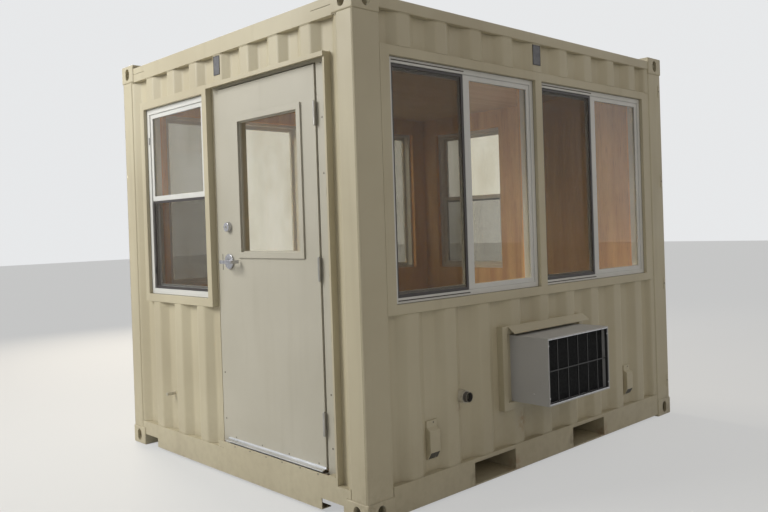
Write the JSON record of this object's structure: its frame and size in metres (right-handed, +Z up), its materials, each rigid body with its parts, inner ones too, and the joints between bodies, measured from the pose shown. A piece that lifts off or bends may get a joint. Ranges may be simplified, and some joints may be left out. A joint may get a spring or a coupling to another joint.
{
  "type": "security guard booth",
  "caption": "Security guard booth made from a short steel shipping container, with sliding windows, a half-glazed steel door, fork pockets and a wall air conditioner.",
  "frame": {"origin": "centre of the base of everything that stands out, at the undersides of the corner castings", "axes": "+X along the long sides, away from the door end; +Y from the air conditioner's side to the plain side; +Z up"},
  "size_m": [3.0204, 2.671, 2.591],
  "materials": {
    "shell_paint": "satin, cream-beige",
    "door_paint": "satin, grey-beige",
    "window_white": "satin white",
    "glass": "clear",
    "lining_board": "plywood",
    "floor_board": "varnished board",
    "hinge_steel": "satin",
    "lock_chrome": "polished",
    "bright_aluminium": "mill finish",
    "case_grey": "matt",
    "grille_black": "matt",
    "stub_plastic": "matt"
  },
  "bodies": {
    "booth": {"lower_corner_castings": "shell_paint", "upper_corner_castings": "shell_paint", "corner_posts": "shell_paint", "bottom_side_rails": "shell_paint", "fork_pockets": "shell_paint", "door_end_sill": "shell_paint", "far_end_sill": "shell_paint", "cross_members": "shell_paint", "top_rails": "shell_paint", "roof_panel": "shell_paint", "roof_header_plates": "shell_paint", "front_wall": "shell_paint", "back_wall": "shell_paint", "far_end_wall": "shell_paint", "door_end_wall_window_side": "shell_paint", "door_end_wall_hinge_side": "shell_paint", "side_wall_heads": "shell_paint", "side_wall_strips": "shell_paint", "door_end_wall_head": "shell_paint", "side_window_surrounds": "shell_paint", "end_window_surrounds": "shell_paint", "door_surround": "shell_paint", "ac_surround": "shell_paint", "vent_covers": "shell_paint", "door_frame": "door_paint", "side_window_frames": "window_white", "end_window_frames": "window_white", "side_window_sashes": "window_white", "end_window_sashes": "window_white", "side_window_glass": "glass", "end_window_glass": "glass", "front_lining": "lining_board", "back_lining": "lining_board", "door_end_lining": "lining_board", "far_end_lining": "lining_board", "ceiling_panel": "lining_board", "subfloor": "floor_board", "floor_panel": "floor_board", "frame_hinge_halves": "hinge_steel", "door_threshold": "bright_aluminium", "ac_cabinet": "case_grey", "ac_grille": "grille_black", "drain_stub": "stub_plastic", "hose_stub": "stub_plastic"},
    "door": {"door_leaf": "door_paint", "door_lite_frame": "door_paint", "door_glass": "glass", "leaf_hinge_halves": "hinge_steel", "door_lockset": "lock_chrome", "door_bottom_drip": "bright_aluminium"},
    "lever": {"door_lever": "lock_chrome"}
  },
  "joints": [
    {"name": "door_hinge", "type": "hinge", "parent": "booth", "child": "door", "pos_m": [-1.44875, -0.752, 1.23], "axis": [0, 0, 1], "range_deg": [0, 120]},
    {"name": "lever_turn", "type": "hinge", "parent": "door", "child": "lever", "pos_m": [-1.44075, 0.0895, 1.261], "axis": [1, 0, 0], "range_deg": [0, 45], "stiffness_Nm_per_rad": 2, "springref_deg": -28.65}
  ]
}
